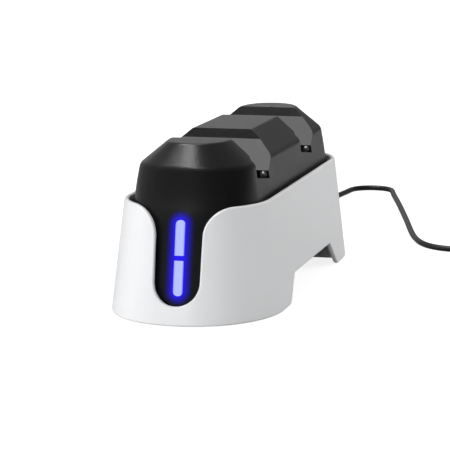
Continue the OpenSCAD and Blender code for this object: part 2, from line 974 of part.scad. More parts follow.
outer_shell();
upper_body();
base_cover();
foot_pads();
cover_screws();
contact_block(0);  // front_contact_block
contact_block(1);  // rear_contact_block
contact_board(0);  // front_contact_board
contact_board(1);  // rear_contact_board
contact_pin(-1, 0);  // front_left_pin
contact_pin(1, 0);  // front_right_pin
contact_pin(-1, 1);  // rear_left_pin
contact_pin(1, 1);  // rear_right_pin
pin_spring(-1, 0);  // front_left_pin_spring
pin_spring(1, 0);  // front_right_pin_spring
pin_spring(-1, 1);  // rear_left_pin_spring
pin_spring(1, 1);  // rear_right_pin_spring
catch_sleeves();
catch_ball(-1, 0);  // front_left_catch_ball
catch_ball(1, 0);  // front_right_catch_ball
catch_ball(-1, 1);  // rear_left_catch_ball
catch_ball(1, 1);  // rear_right_catch_ball
catch_spring(-1, 0);  // front_left_catch_spring
catch_spring(1, 0);  // front_right_catch_spring
catch_spring(-1, 1);  // rear_left_catch_spring
catch_spring(1, 1);  // rear_right_catch_spring
light_lens(bar_from + bar_lower_len + bar_gap, bar_upper_len, 1);  // upper_light_lens
light_lens(bar_from, bar_lower_len, -1);  // lower_light_lens
light_shield();
led_board();
leds();
main_board();
board_screws();
board_parts();
supply_lead();
strain_relief();
cord();
cord_coil();
cord_tie();
plug_body();
plug_shell();
plug_tongue();
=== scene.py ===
"""Looks for the two-bay charging dock: smooth shell and ridge, lit bar, cord and studio."""

import json
import math

import bmesh
import bpy
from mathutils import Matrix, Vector


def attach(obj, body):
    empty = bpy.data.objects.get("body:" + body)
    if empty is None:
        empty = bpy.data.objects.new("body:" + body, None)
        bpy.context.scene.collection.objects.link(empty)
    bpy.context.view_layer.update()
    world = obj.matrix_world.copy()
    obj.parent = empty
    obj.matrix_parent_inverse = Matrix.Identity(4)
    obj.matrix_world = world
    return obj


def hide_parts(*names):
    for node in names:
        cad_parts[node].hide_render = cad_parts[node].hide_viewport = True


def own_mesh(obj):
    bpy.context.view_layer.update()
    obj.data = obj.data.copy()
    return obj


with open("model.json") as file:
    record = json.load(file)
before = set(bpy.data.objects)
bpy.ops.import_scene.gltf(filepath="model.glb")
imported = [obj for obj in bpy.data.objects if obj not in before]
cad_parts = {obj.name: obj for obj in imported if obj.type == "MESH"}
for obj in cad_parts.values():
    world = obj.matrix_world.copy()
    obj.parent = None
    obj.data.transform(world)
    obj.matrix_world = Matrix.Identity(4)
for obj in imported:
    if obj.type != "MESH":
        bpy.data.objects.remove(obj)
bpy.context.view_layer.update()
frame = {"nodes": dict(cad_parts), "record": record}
MM = 0.001
nodes = frame["nodes"]

# ---- sizes shared with the CAD, in millimetres ----
HALF_LEN = 112.5
HALF_W = 38.5
RIM_Z = 49.6
TOP_Z = 75.0
TAN_SIDE = math.tan(math.radians(6.5))
TAN_END = math.tan(math.radians(10.3))
END_DEPTH = 46.4
CAP_POWER = 2.1
SHELL_WALL = 2.2
SHELL_LIFT = 0.3
SKIRT_INSET = 4.4
BODY_WALL = 2.2
RIDGE_FOOT_Z = 64.8
RIDGE_HALF_W = 25.5
RIDGE_HALF_LEN = 92.9
RIDGE_CAP = 23.0
RIDGE_LEAN = 0.15
TOP_HALF_W = 13.5
TOP_HALF_LEN = 85.0
TOP_CAP = 19.0
SKIRT_BOTTOM_Z = 2.5
LEDGE_Z = 47.0
BAY_FRONTS = (-64.9, 26.9)
# back from the bay's front edge, and down from the top
BAY_SECTION = [(0, -3), (0, 0), (-0.5, 7.0), (-4.4, 8.4), (-4.8, 16.3), (17.5, 19.3),
               (17.5, 15.8), (17.9, 15.6), (35.75, 4.1), (37.6, 0), (38.9, -3)]
CHANNEL = (-3.8, 17.5)
CHANNEL_DEPTH = 23.0
CHANNEL_HALF = 24.42
CHANNEL_TOP = 15.9
PIN_X = 3.5
PIN_Y = 6.5
PIN_SPRING_D = 26.38
SOCKET_HALF = (7.65, 4.15)
CATCH_X = 24.0
CATCH_D = 17.55
CATCH_BACK = 24.68
BODY_ARCH = (69.7, 14.4)  # half its length, its top
# the shell's corners: how far from the middle, and the radius there
NOTCH_TOP = (10.85, 12.5)
NOTCH_FOOT = (10.2, 10.0)
NOTCH_FOOT_Z = 8.4
UNDERPASS = ((53.0, 4.5), (40.0, 1.5))
UNDERPASS_Z = 12.2
CORD_HOLE_R = 3.0
BAR_HALF_W = 2.1
BAR_FROM = 12.4
BAR_LOWER = 15.0
BAR_GAP = 2.2
BAR_UPPER = 15.2
RELIEF_Z = 9.0
RELIEF_LEN = 14.0
STRAIGHT = HALF_LEN - END_DEPTH
PAST = 60.0  # further out than any side of the dock


# ---- camera ----
def aim(obj, at):
    obj.rotation_euler = (Vector(at) - obj.location).to_track_quat("-Z", "Y").to_euler()


cam_data = bpy.data.cameras.new("camera")
cam_data.lens = 182.2
cam_data.sensor_width = 36.0
cam_data.clip_end = 50.0
camera = bpy.data.objects.new("camera", cam_data)
bpy.context.scene.collection.objects.link(camera)
camera.location = (0.2485, -1.0251, 0.1975)
aim(camera, (-0.0003, -0.02036, 0.02937))
bpy.context.scene.camera = camera
bpy.context.scene.view_settings.view_transform = "Standard"

# ---- cord: the route of the CAD tube, then the turns of the coil ----
CORD_D = 3.0
LIE = CORD_D / 2
RELIEF_END_Y = HALF_LEN - RELIEF_Z * TAN_END + RELIEF_LEN
ROUTE = [
    (0, RELIEF_END_Y, 9), (0, RELIEF_END_Y + 8, 8.4), (-0.5, RELIEF_END_Y + 18, 5.4),
    (-1.5, RELIEF_END_Y + 28, 2.6), (-2.5, RELIEF_END_Y + 38, LIE), (-4, 190, LIE), (-5, 220, LIE),
    (-4.8, 250, LIE), (-3, 270, LIE), (-1, 283, LIE), (-0.5, 290, LIE), (1.2, 296.2, LIE), (5.8, 300.8, LIE),
    (12, 302.5, LIE), (18.2, 300.8, LIE), (22.8, 296.2, LIE), (24.8, 290, LIE), (26.5, 282, LIE), (29.5, 270, LIE),
    (36.5, 243, LIE), (45, 208, LIE), (52.5, 177, LIE), (60, 144, LIE),
    (66.5, 122, LIE), (73, 109, LIE), (81, 102, LIE), (90, 99.8, LIE), (98, 99.6, LIE), (107, 99.6, LIE),
]
COIL = Vector((111.0, 119.1, 0.0))
COIL_OUT = 19.5
COIL_IN = 13.5
COIL_STEPS = 24


def spline_points(points, count):
    """A smooth line through the points, as the CAD tube follows it."""
    p = [Vector(q) for q in points]
    out = []
    for i in range(len(p) - 1):
        a, b, c, d = p[max(i - 1, 0)], p[i], p[i + 1], p[min(i + 2, len(p) - 1)]
        for j in range(count):
            t = j / count
            q = 0.5 * (2 * b + (c - a) * t + (2 * a - 5 * b + 4 * c - d) * t * t
                       + (3 * b - a - 3 * c + d) * t * t * t)
            q.z = max(q.z, LIE)
            out.append(q)
    return out + [p[-1]]


def coil_points():
    """Two turns inwards on the surface, a climb, and two turns outwards on top of them."""
    out = []
    for i in range(int(4.25 * COIL_STEPS) + 1):
        turn = i / COIL_STEPS
        if turn <= 2:
            r, z = COIL_OUT - CORD_D * turn, LIE
        elif turn <= 2.5:
            f = (turn - 2) / 0.5
            r, z = COIL_IN - 0.3 * math.sin(math.pi * f), LIE + CORD_D * (3 * f * f - 2 * f ** 3)
        else:
            r, z = COIL_IN + (COIL_OUT - COIL_IN) * (turn - 2.5) / 1.75, LIE + CORD_D
        a = math.tau * turn - math.pi / 2
        out.append(COIL + Vector((r * math.cos(a), r * math.sin(a), z)))
    return out


def relaxed(points, passes):
    """Evens out the bends, with both ends held."""
    for _ in range(passes):
        between = [(a + 2 * b + c) / 4 for a, b, c in zip(points, points[1:], points[2:])]
        points = [points[0]] + between + [points[-1]]
    return points


cord_line = relaxed(spline_points(ROUTE, 5), 10) + coil_points()
cord_line += [Vector((130.7, 121.5, 4.4)), Vector((130.6, 124.0, 4.1)), Vector((130.5, 126.2, 3.8))]
cord_curve = bpy.data.curves.new("cord_run", "CURVE")
cord_curve.dimensions = "3D"
cord_curve.bevel_depth = 1.0
cord_curve.bevel_resolution = 4
cord_curve.use_fill_caps = True
line = cord_curve.splines.new("POLY")
line.points.add(len(cord_line) - 1)
for point, q in zip(line.points, cord_line):
    point.co = (*(q * MM), 1.0)
    point.radius = CORD_D / 2 * MM
cord_piece = bpy.data.objects.new("cord_run", cord_curve)
bpy.context.scene.collection.objects.link(cord_piece)
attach(cord_piece, "dock")
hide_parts("cord", "cord_coil")


# ---- shader groups ----
COLOUR = "NodeSocketColor"
NUMBER = "NodeSocketFloat"


def group(name, inputs, outputs):
    g = bpy.data.node_groups.new(name, "ShaderNodeTree")
    for label, kind, value in inputs:
        socket = g.interface.new_socket(label, in_out="INPUT", socket_type=kind)
        socket.default_value = value
    for label, kind in outputs:
        g.interface.new_socket(label, in_out="OUTPUT", socket_type=kind)
    return g, g.nodes.new("NodeGroupInput"), g.nodes.new("NodeGroupOutput")


def feed(tree, socket, value):
    """Links another node's output to a socket, or writes a plain value on it."""
    if isinstance(value, bpy.types.NodeSocket):
        tree.links.new(value, socket)
    else:
        socket.default_value = value


def maths(tree, operation, a, b=None, clamp=False):
    n = tree.nodes.new("ShaderNodeMath")
    n.operation = operation
    n.use_clamp = clamp
    feed(tree, n.inputs[0], a)
    if b is not None:
        feed(tree, n.inputs[1], b)
    return n.outputs[0]


def colour_mix(tree, factor, a, b):
    n = tree.nodes.new("ShaderNodeMix")
    n.data_type = "RGBA"
    for label, value in (("Factor", factor), ("A", a), ("B", b)):
        feed(tree, n.inputs[label], value)
    return n.outputs["Result"]


def noise(tree, coords, scale, detail=2.0, rough=0.5):
    n = tree.nodes.new("ShaderNodeTexNoise")
    for label, value in (("Vector", coords), ("Scale", scale), ("Detail", detail), ("Roughness", rough)):
        feed(tree, n.inputs[label], value)
    return n.outputs["Fac"]


def object_coords(tree):
    return tree.nodes.new("ShaderNodeTexCoord").outputs["Object"]


def moulded_group():
    """Moulded plastic: spark-eroded grain, slow flow marks and a little handling dust."""
    g, i, o = group("moulded_plastic",
                    [("Colour", COLOUR, (0.5, 0.5, 0.5, 1)), ("Dust", COLOUR, (0.6, 0.6, 0.6, 1)),
                     ("Dust Amount", NUMBER, 0.02), ("Grain Scale", NUMBER, 2500.0),
                     ("Roughness", NUMBER, 0.4), ("Variation", NUMBER, 0.06)],
                    [("Colour", COLOUR), ("Roughness", NUMBER), ("Height", NUMBER)])
    coords = object_coords(g)
    grain = noise(g, coords, i.outputs["Grain Scale"], 2.0, 0.6)
    flow = noise(g, coords, 38.0, 3.0, 0.55)
    specks = noise(g, coords, 900.0, 4.0, 0.7)
    dust = maths(g, "MULTIPLY", maths(g, "SUBTRACT", specks, 0.55, clamp=True), 3.0, clamp=True)
    dust = maths(g, "MULTIPLY", dust, maths(g, "MULTIPLY", i.outputs["Dust Amount"], flow))
    g.links.new(colour_mix(g, dust, i.outputs["Colour"], i.outputs["Dust"]), o.inputs["Colour"])
    wander = maths(g, "MULTIPLY", maths(g, "SUBTRACT", flow, 0.5), i.outputs["Variation"])
    g.links.new(maths(g, "ADD", i.outputs["Roughness"], wander, clamp=True), o.inputs["Roughness"])
    g.links.new(grain, o.inputs["Height"])
    return g


def metal_group():
    """Metal: fine drawn lines along X and a slow change of polish."""
    g, i, o = group("worked_metal",
                    [("Colour", COLOUR, (0.6, 0.6, 0.6, 1)), ("Stain", COLOUR, (0.4, 0.38, 0.35, 1)),
                     ("Line Scale", NUMBER, 900.0), ("Roughness", NUMBER, 0.25)],
                    [("Colour", COLOUR), ("Roughness", NUMBER), ("Height", NUMBER)])
    coords = object_coords(g)
    stretch = g.nodes.new("ShaderNodeMapping")
    stretch.inputs["Scale"].default_value = (0.05, 1.0, 1.0)
    g.links.new(coords, stretch.inputs["Vector"])
    lines = noise(g, stretch.outputs["Vector"], i.outputs["Line Scale"], 2.0, 0.5)
    cloud = noise(g, coords, 160.0, 2.0, 0.5)
    stained = colour_mix(g, maths(g, "MULTIPLY", cloud, 0.25), i.outputs["Colour"], i.outputs["Stain"])
    g.links.new(stained, o.inputs["Colour"])
    worn = maths(g, "ADD", i.outputs["Roughness"], maths(g, "MULTIPLY", lines, 0.12))
    g.links.new(worn, o.inputs["Roughness"])
    g.links.new(lines, o.inputs["Height"])
    return g


def bar_glow_group():
    """How near a point of the tongue is to the lit bar: 1 at its edge, 0 out of the light's reach."""
    g, i, o = group("bar_glow", [("Reach", NUMBER, 0.004)], [("Glow", NUMBER)])
    xyz = g.nodes.new("ShaderNodeSeparateXYZ")
    g.links.new(object_coords(g), xyz.inputs[0])
    lean = math.cos(math.atan(TAN_END))
    low = (BAR_FROM + BAR_HALF_W) * MM * lean
    high = (BAR_FROM + BAR_LOWER + BAR_GAP + BAR_UPPER - BAR_HALF_W) * MM * lean
    above = maths(g, "SUBTRACT", xyz.outputs["Z"], high)
    below = maths(g, "SUBTRACT", low, xyz.outputs["Z"])
    past_end = maths(g, "MAXIMUM", maths(g, "MAXIMUM", above, below), 0.0)
    squares = [maths(g, "POWER", v, 2.0) for v in (xyz.outputs["X"], past_end)]
    away = maths(g, "SUBTRACT", maths(g, "SQRT", maths(g, "ADD", *squares)), BAR_HALF_W * MM)
    near = maths(g, "SUBTRACT", 1.0, maths(g, "DIVIDE", away, i.outputs["Reach"]), clamp=True)
    front = maths(g, "LESS_THAN", xyz.outputs["Y"], -0.085)
    g.links.new(maths(g, "MULTIPLY", maths(g, "POWER", near, 1.7), front), o.inputs["Glow"])
    return g


MOULDED = moulded_group()
METAL = metal_group()
GLOW = bar_glow_group()


def material(name, shader_group, values, bump, principled, bevel=0.0):
    """A Principled material fed by one of the shared groups."""
    m = bpy.data.materials.new(name)
    m.use_nodes = True
    t = m.node_tree
    bsdf = t.nodes["Principled BSDF"]
    for key, value in principled.items():
        bsdf.inputs[key].default_value = value
    n = t.nodes.new("ShaderNodeGroup")
    n.node_tree = shader_group
    for key, value in values.items():
        n.inputs[key].default_value = value
    t.links.new(n.outputs["Colour"], bsdf.inputs["Base Color"])
    t.links.new(n.outputs["Roughness"], bsdf.inputs["Roughness"])
    b = t.nodes.new("ShaderNodeBump")
    b.inputs["Strength"].default_value = bump
    b.inputs["Distance"].default_value = 0.0002
    t.links.new(n.outputs["Height"], b.inputs["Height"])
    if bevel:
        round_off = t.nodes.new("ShaderNodeBevel")
        round_off.samples = 4
        round_off.inputs["Radius"].default_value = bevel
        t.links.new(round_off.outputs["Normal"], b.inputs["Normal"])
    t.links.new(b.outputs["Normal"], bsdf.inputs["Normal"])
    return m


def moulded(name, colour, rough, dust=(0.5, 0.5, 0.5), dust_amount=0.03, grain=2500.0, variation=0.06, bump=0.15,
            bevel=0.0003, **principled):
    return material(name, MOULDED, {"Colour": (*colour, 1), "Dust": (*dust, 1), "Dust Amount": dust_amount,
                                    "Grain Scale": grain, "Roughness": rough, "Variation": variation},
                    bump, principled, bevel)


def metal(name, colour, rough, bump=0.1, bevel=0.0002):
    return material(name, METAL, {"Colour": (*colour, 1), "Roughness": rough}, bump, {"Metallic": 1.0}, bevel)


white_abs = moulded("white_shell_abs", (0.86, 0.865, 0.875), 0.36, dust=(0.7, 0.7, 0.7), dust_amount=0.02,
                    grain=3000.0, variation=0.05, bump=0.05, bevel=0.0)
black_abs = moulded("black_ridge_abs", (0.0055, 0.0055, 0.006), 0.29, dust=(0.25, 0.25, 0.25), dust_amount=0.03,
                    grain=2200.0, variation=0.08, bump=0.25, bevel=0.0)
# the blue that the lit bar throws on the tongue around it
tree = black_abs.node_tree
bsdf = tree.nodes["Principled BSDF"]
glow = tree.nodes.new("ShaderNodeGroup")
glow.node_tree = GLOW
glow.inputs["Reach"].default_value = 0.0042
blue = colour_mix(tree, glow.outputs["Glow"], (0, 0, 0, 1), (0.01, 0.0, 0.9, 1))
tree.links.new(blue, bsdf.inputs["Emission Color"])
bsdf.inputs["Emission Strength"].default_value = 1.0

base_abs = moulded("white_base_abs", (0.78, 0.785, 0.795), 0.5, dust=(0.5, 0.5, 0.48), dust_amount=0.08,
                   grain=1800.0, bump=0.2)
shield_abs = moulded("light_shield_abs", (0.02, 0.02, 0.021), 0.5, grain=1800.0, bump=0.25)
block_abs = moulded("contact_block_abs", (0.014, 0.014, 0.015), 0.38, grain=2600.0)
pad_rubber = moulded("foot_rubber", (0.02, 0.02, 0.02), 0.75, grain=1500.0, bump=0.4)
jacket = moulded("cord_jacket", (0.008, 0.008, 0.0085), 0.38, grain=1400.0, bump=0.12, bevel=0.0)
soft_pvc = moulded("cord_moulding", (0.01, 0.01, 0.0105), 0.5, grain=1400.0, bump=0.2)
board_green = moulded("solder_mask", (0.012, 0.12, 0.045), 0.28, dust=(0.6, 0.55, 0.3), dust_amount=0.3,
                      grain=700.0, bump=0.2)
led_case = moulded("led_case", (0.85, 0.83, 0.62), 0.3, grain=2000.0)
chip_epoxy = moulded("chip_epoxy", (0.02, 0.02, 0.02), 0.45, grain=2500.0)
insert_white = moulded("plug_insert", (0.8, 0.8, 0.8), 0.4)
gold = metal("gold_plate", (0.9, 0.62, 0.2), 0.18)
steel = metal("plated_steel", (0.56, 0.57, 0.58), 0.28)
polished = metal("polished_steel", (0.4, 0.4, 0.41), 0.42, bump=0.03)
spring_wire = metal("spring_wire", (0.5, 0.51, 0.53), 0.3)

# the two lenses: a pale core that goes bluer towards the edge
lens_glow = bpy.data.materials.new("lit_lens")
lens_glow.use_nodes = True
tree = lens_glow.node_tree
bsdf = tree.nodes["Principled BSDF"]
bsdf.inputs["Base Color"].default_value = (0.05, 0.05, 0.2, 1)
bsdf.inputs["Roughness"].default_value = 0.35
bsdf.inputs["Emission Strength"].default_value = 1.0
xyz = tree.nodes.new("ShaderNodeSeparateXYZ")
coords = object_coords(tree)
tree.links.new(coords, xyz.inputs[0])
edge = maths(tree, "DIVIDE", maths(tree, "ABSOLUTE", xyz.outputs["X"]), BAR_HALF_W * MM)
edge = maths(tree, "POWER", edge, 7.0, clamp=True)
cloud = maths(tree, "MULTIPLY", noise(tree, coords, 700.0), 0.12)
edge = maths(tree, "ADD", maths(tree, "MULTIPLY", edge, 0.85), cloud, clamp=True)
lit = colour_mix(tree, edge, (0.43, 0.5, 0.94, 1), (0.06, 0.03, 0.85, 1))
tree.links.new(lit, bsdf.inputs["Emission Color"])

FINISH = {
    "white_shell": white_abs, "black_body": black_abs, "white_base": base_abs, "black_moulding": shield_abs,
    "foot_rubber": pad_rubber, "screw_steel": steel, "contact_gold": gold, "spring_steel": spring_wire,
    "catch_steel": polished, "light_lens": lens_glow, "board": board_green, "led_body": led_case,
    "chip_black": chip_epoxy, "cord_jacket": jacket, "cord_moulding": soft_pvc, "plug_steel": steel,
    "plug_insert": insert_white,
}
for part in frame["record"]["subparts"]:
    piece = nodes[part["node"]]
    finish = FINISH[part["material_slot"]]
    if part["node"].endswith("contact_block"):
        finish = block_abs
    if not piece.data.materials:
        piece.data.materials.append(finish)
    for index in range(len(piece.data.materials)):
        piece.data.materials[index] = finish
cord_curve.materials.append(jacket)


# ---- mesh helpers ----
def outline(w, l, cap, steps):
    """Rounded ends joined by straight sides, anticlockwise from the right-hand rear."""
    half = []
    for i in range(steps + 1):
        t = math.pi * i / steps
        c, s = math.cos(t), math.sin(t)
        x = math.copysign(w * abs(c) ** (2 / CAP_POWER), c)
        half.append((x, l - cap + cap * max(s, 0.0) ** (2 / CAP_POWER)))
    return half + [(-x, -y) for x, y in half]


def shell_outline(z, inset, steps):
    return outline(HALF_W - z * TAN_SIDE - inset, HALF_LEN - z * TAN_END - inset,
                   END_DEPTH - z * TAN_END - inset, steps)


def ridge_outline(z, inset, steps):
    drop = RIDGE_FOOT_Z - z
    return outline(RIDGE_HALF_W + drop * RIDGE_LEAN - inset, RIDGE_HALF_LEN + drop * RIDGE_LEAN * 1.2 - inset,
                   RIDGE_CAP - inset, steps)


def ring(points, z):
    return [Vector((x, y, z)) for x, y in points]


def rounded_rings(stations, radii, count):
    """The rings at the stations, with each inner one rounded off over its radius."""
    out = [stations[0]]
    for k in range(1, len(stations) - 1):
        a, b, c = stations[k - 1], stations[k], stations[k + 1]
        r = radii[k]
        if not r:
            out.append(b)
            continue
        back = [min(r / max((p - q).length, 1e-6), 0.49) for p, q in zip(a, b)]
        ahead = [min(r / max((p - q).length, 1e-6), 0.49) for p, q in zip(c, b)]
        for i in range(count + 1):
            t = i / count
            out.append([(1 - t) ** 2 * q.lerp(p, fa) + 2 * t * (1 - t) * q + t * t * q.lerp(s, fc)
                        for p, q, s, fa, fc in zip(a, b, c, back, ahead)])
    return out + [stations[-1]]


def loft(name, rings):
    """A closed solid grown ring by ring."""
    bm = bmesh.new()
    first = bmesh.ops.create_circle(bm, segments=len(rings[0]), radius=1.0)["verts"]
    for v, q in zip(first, rings[0]):
        v.co = q * MM
    bm.edges.ensure_lookup_table()
    bmesh.ops.contextual_create(bm, geom=[e for e in bm.edges])
    current = first
    loop = [bm.edges.get((current[i - 1], current[i])) for i in range(len(current))]
    for points in rings[1:]:
        made = bmesh.ops.extrude_edge_only(bm, edges=loop)["geom"]
        fresh = {g for g in made if isinstance(g, bmesh.types.BMVert)}
        current = [next(e.other_vert(v) for e in v.link_edges if e.other_vert(v) in fresh) for v in current]
        for v, q in zip(current, points):
            v.co = q * MM
        loop = [bm.edges.get((current[i - 1], current[i])) for i in range(len(current))]
    bmesh.ops.contextual_create(bm, geom=loop)
    bmesh.ops.recalc_face_normals(bm, faces=bm.faces)
    return to_object(name, bm)


def settle(bm):
    """Puts vertices, edges and faces in the order of their places, so that every run comes out alike."""
    rank = {v: n for n, v in enumerate(sorted(bm.verts, key=lambda v: [round(c, 8) for c in v.co]))}
    bm.verts.sort(key=rank.get)
    for parts in (bm.edges, bm.faces):
        row = {part: n for n, part in enumerate(sorted(parts, key=lambda part: sorted(map(rank.get, part.verts))))}
        parts.sort(key=row.get)


def to_object(name, bm):
    mesh = bpy.data.meshes.new(name)
    settle(bm)
    bm.to_mesh(mesh)
    bm.free()
    obj = bpy.data.objects.new(name, mesh)
    bpy.context.scene.collection.objects.link(obj)
    return obj


def push_out(bm, verts, way):
    """A solid from the flat face on verts, pushed out along way."""
    made = bmesh.ops.extrude_face_region(bm, geom=[bm.faces.new(verts)])["geom"]
    bmesh.ops.translate(bm, vec=way, verts=[g for g in made if isinstance(g, bmesh.types.BMVert)])
    bmesh.ops.recalc_face_normals(bm, faces=bm.faces)


def turn(bm, verts, start, end):
    """Turns verts about the origin, so that the way start becomes the way end."""
    matrix = Vector(start).rotation_difference(Vector(end)).to_matrix()
    bmesh.ops.rotate(bm, verts=verts, cent=(0, 0, 0), matrix=matrix)


def across(name, points):
    """A (y, z) outline that runs past both sides of the dock."""
    bm = bmesh.new()
    push_out(bm, [bm.verts.new(Vector((-PAST, y, z)) * MM) for y, z in points], Vector((2 * PAST, 0, 0)) * MM)
    return to_object(name, bm)


def block(name, low, high):
    bm = bmesh.new()
    made = bmesh.ops.create_cube(bm, size=1.0)["verts"]
    low, high = Vector(low) * MM, Vector(high) * MM
    for v in made:
        v.co = Vector([low[k] if v.co[k] < 0 else high[k] for k in range(3)])
    return to_object(name, bm)


def rod(name, r, start, end):
    bm = bmesh.new()
    start, end = Vector(start) * MM, Vector(end) * MM
    way = end - start
    made = bmesh.ops.create_cone(bm, cap_ends=True, segments=32, radius1=r * MM, radius2=r * MM,
                                 depth=way.length)["verts"]
    bmesh.ops.rotate(bm, verts=made, cent=(0, 0, 0), matrix=way.to_track_quat("Z", "Y").to_matrix())
    bmesh.ops.translate(bm, verts=made, vec=(start + end) / 2)
    return to_object(name, bm)


def cut(obj, tools, operation="DIFFERENCE"):
    """Cuts each tool out of obj, for good."""
    for tool in tools:
        m = obj.modifiers.new("cut", "BOOLEAN")
        m.object = tool
        m.operation = operation
        m.solver = "EXACT"
    bpy.context.view_layer.update()
    result = bpy.data.meshes.new_from_object(obj.evaluated_get(bpy.context.evaluated_depsgraph_get()))
    obj.modifiers.clear()
    old = obj.data
    obj.data = result
    bpy.data.meshes.remove(old)
    for tool in tools:
        mesh = tool.data
        bpy.data.objects.remove(tool)
        bpy.data.meshes.remove(mesh)


def soften(obj, offset, segments, chosen):
    """Rounds the sharp edges that chosen(edge) picks."""
    bm = bmesh.new()
    bm.from_mesh(obj.data)
    bmesh.ops.remove_doubles(bm, verts=bm.verts, dist=1e-6)
    bmesh.ops.dissolve_limit(bm, angle_limit=math.radians(0.3), verts=bm.verts, edges=bm.edges)
    edges = [e for e in bm.edges
             if len(e.link_faces) == 2 and e.calc_face_angle(0.0) > math.radians(22) and chosen(e)]
    bmesh.ops.bevel(bm, geom=edges, affect="EDGES", offset=offset * MM, segments=segments, profile=0.5,
                    material=-1, clamp_overlap=True)
    settle(bm)
    bm.to_mesh(obj.data)
    bm.free()


def finish_piece(obj, body, slot, finish, *replaced, sharp):
    """Gives a piece its finish, even shading and its place in the part."""
    obj.data.materials.clear()
    obj.data.materials.append(finish)
    for poly in obj.data.polygons:
        poly.use_smooth = True
    obj.data.set_sharp_from_angle(angle=math.radians(sharp))
    even = obj.modifiers.new("even_normals", "WEIGHTED_NORMAL")
    even.keep_sharp = True
    even.weight = 80
    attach(obj, body)
    if replaced:
        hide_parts(*replaced)


# ---- upper body ----
def bay_points(front, section):
    """The section of a bay, or of the wall that lines it, in its place."""
    return [(front + y, TOP_Z - d) for y, d in section]


def make_ledge(steps):
    """The flange that closes the gap to the shell, open where the notch is."""
    ledge = loft("ledge_tool", [ring(shell_outline(z, SHELL_WALL + 0.25, steps), z)
                                for z in (LEDGE_Z - 2, LEDGE_Z)])
    cut(ledge, [block("notch_tool", (-20.8, -130, 40), (20.8, -60, 55))])
    return ledge


def make_body():
    steps = 40
    stations = [
        ring(shell_outline(SKIRT_BOTTOM_Z, SKIRT_INSET, steps), SKIRT_BOTTOM_Z),
        ring(shell_outline(43.5, SKIRT_INSET, steps), 43.5),
        ring(ridge_outline(54.5, 0, steps), 54.5),
        ring(ridge_outline(RIDGE_FOOT_Z, 0, steps), RIDGE_FOOT_Z),
        ring(outline(TOP_HALF_W, TOP_HALF_LEN, TOP_CAP, steps), TOP_Z),
        ring(outline(TOP_HALF_W - 8, TOP_HALF_LEN - 8, TOP_CAP - 8, steps), TOP_Z),
    ]
    body = loft("ridge_moulding", rounded_rings(stations, [0, 5.0, 5.0, 1.6, 0.9, 0], 6))
    cut(body, [make_ledge(steps)], "UNION")
    arch, arch_z = BODY_ARCH
    tools = [block("arch_tool", (-PAST, -arch, -5), (PAST, arch, arch_z))]
    tools += [across("bay_tool", bay_points(front, BAY_SECTION)) for front in BAY_FRONTS]
    cut(body, tools)
    backs = [(front + BAY_SECTION[-2][0]) * MM for front in BAY_FRONTS]
    soften(body, 1.4, 5, lambda e: all(v.co.z > (TOP_Z - 0.1) * MM for v in e.verts)
           and any(all(abs(v.co.y - back) < 0.4 * MM for v in e.verts) for back in backs))
    soften(body, 0.55, 3, lambda e: min(v.co.z for v in e.verts) > 56.5 * MM)
    cut(body, [block("channel_tool", (-CHANNEL_HALF, front + CHANNEL[0], TOP_Z - CHANNEL_DEPTH),
                     (CHANNEL_HALF, front + CHANNEL[1], TOP_Z - CHANNEL_TOP)) for front in BAY_FRONTS])
    hollow = loft("hollow_tool", [
        ring(shell_outline(0, SKIRT_INSET + BODY_WALL, steps), 0),
        ring(shell_outline(42.5, SKIRT_INSET + BODY_WALL, steps), 42.5),
        ring(ridge_outline(55.5, BODY_WALL, steps), 55.5),
        ring(ridge_outline(RIDGE_FOOT_Z - 0.6, BODY_WALL, steps), RIDGE_FOOT_Z - 0.6),
        ring(outline(TOP_HALF_W - 1.6, TOP_HALF_LEN - 1.6, TOP_CAP - 1.6, steps), TOP_Z - BODY_WALL),
    ])
    w = BODY_WALL
    lining = [(w, -2), (w, 3), (-0.5 - w, 7 - w), (-4.4 - w, 8.4 - w), (-7.4, 25.2), (19.7, 25.2), (19.7, 18),
              (20.5, 17), (37.3, 6), (40.2, 0), (42, -2)]
    cut(hollow, [across("wall_tool", bay_points(front, lining)) for front in BAY_FRONTS])
    tools = [hollow]
    half_x, half_y = SOCKET_HALF
    for front in BAY_FRONTS:
        tools.append(block("socket_tool", (-half_x, front + PIN_Y - half_y, TOP_Z - 27),
                           (half_x, front + PIN_Y + half_y, TOP_Z - 22)))
        for x in (-CATCH_X, CATCH_X):
            tools.append(rod("catch_tool", 1.62, (x, front + 16.6, TOP_Z - CATCH_D),
                             (x, front + 26, TOP_Z - CATCH_D)))
    tools.append(rod("relief_tool", 2.95, (0, 90, RELIEF_Z), (0, 125, RELIEF_Z)))
    cut(body, tools)
    segments = ((BAR_FROM, BAR_LOWER, False), (BAR_FROM + BAR_LOWER + BAR_GAP, BAR_UPPER, True))
    cut(body, [bar_slot(start - 0.1, length + 0.2, BAR_HALF_W + 0.1, top) for start, length, top in segments])
    finish_piece(body, "dock", "black_body", black_abs, "upper_body", sharp=38)


def bar_slot(start, length, r, top):
    """A tool square to the tongue's face, round at the bar's outer end."""
    bm = bmesh.new()
    points = []
    for centre, side in ((start + length - r, 0), (start + r, math.pi)):
        if (side == 0) == top:
            points += [(r * math.cos(side + math.pi * i / 12), centre + r * math.sin(side + math.pi * i / 12))
                       for i in range(13)]
        else:
            end = start + (0 if top else length)
            points += [(-r, end), (r, end)] if top else [(r, end), (-r, end)]
    push_out(bm, [bm.verts.new(Vector((a, b, -3.8)) * MM) for a, b in points], Vector((0, 0, 6)) * MM)
    turn(bm, bm.verts, (0, 0, 1), (0, -1, TAN_END))
    bmesh.ops.translate(bm, vec=Vector((0, -HALF_LEN + SKIRT_INSET, 0)) * MM, verts=bm.verts)
    return to_object("bar_tool", bm)


# ---- outer shell ----
CAP_TABLE = []


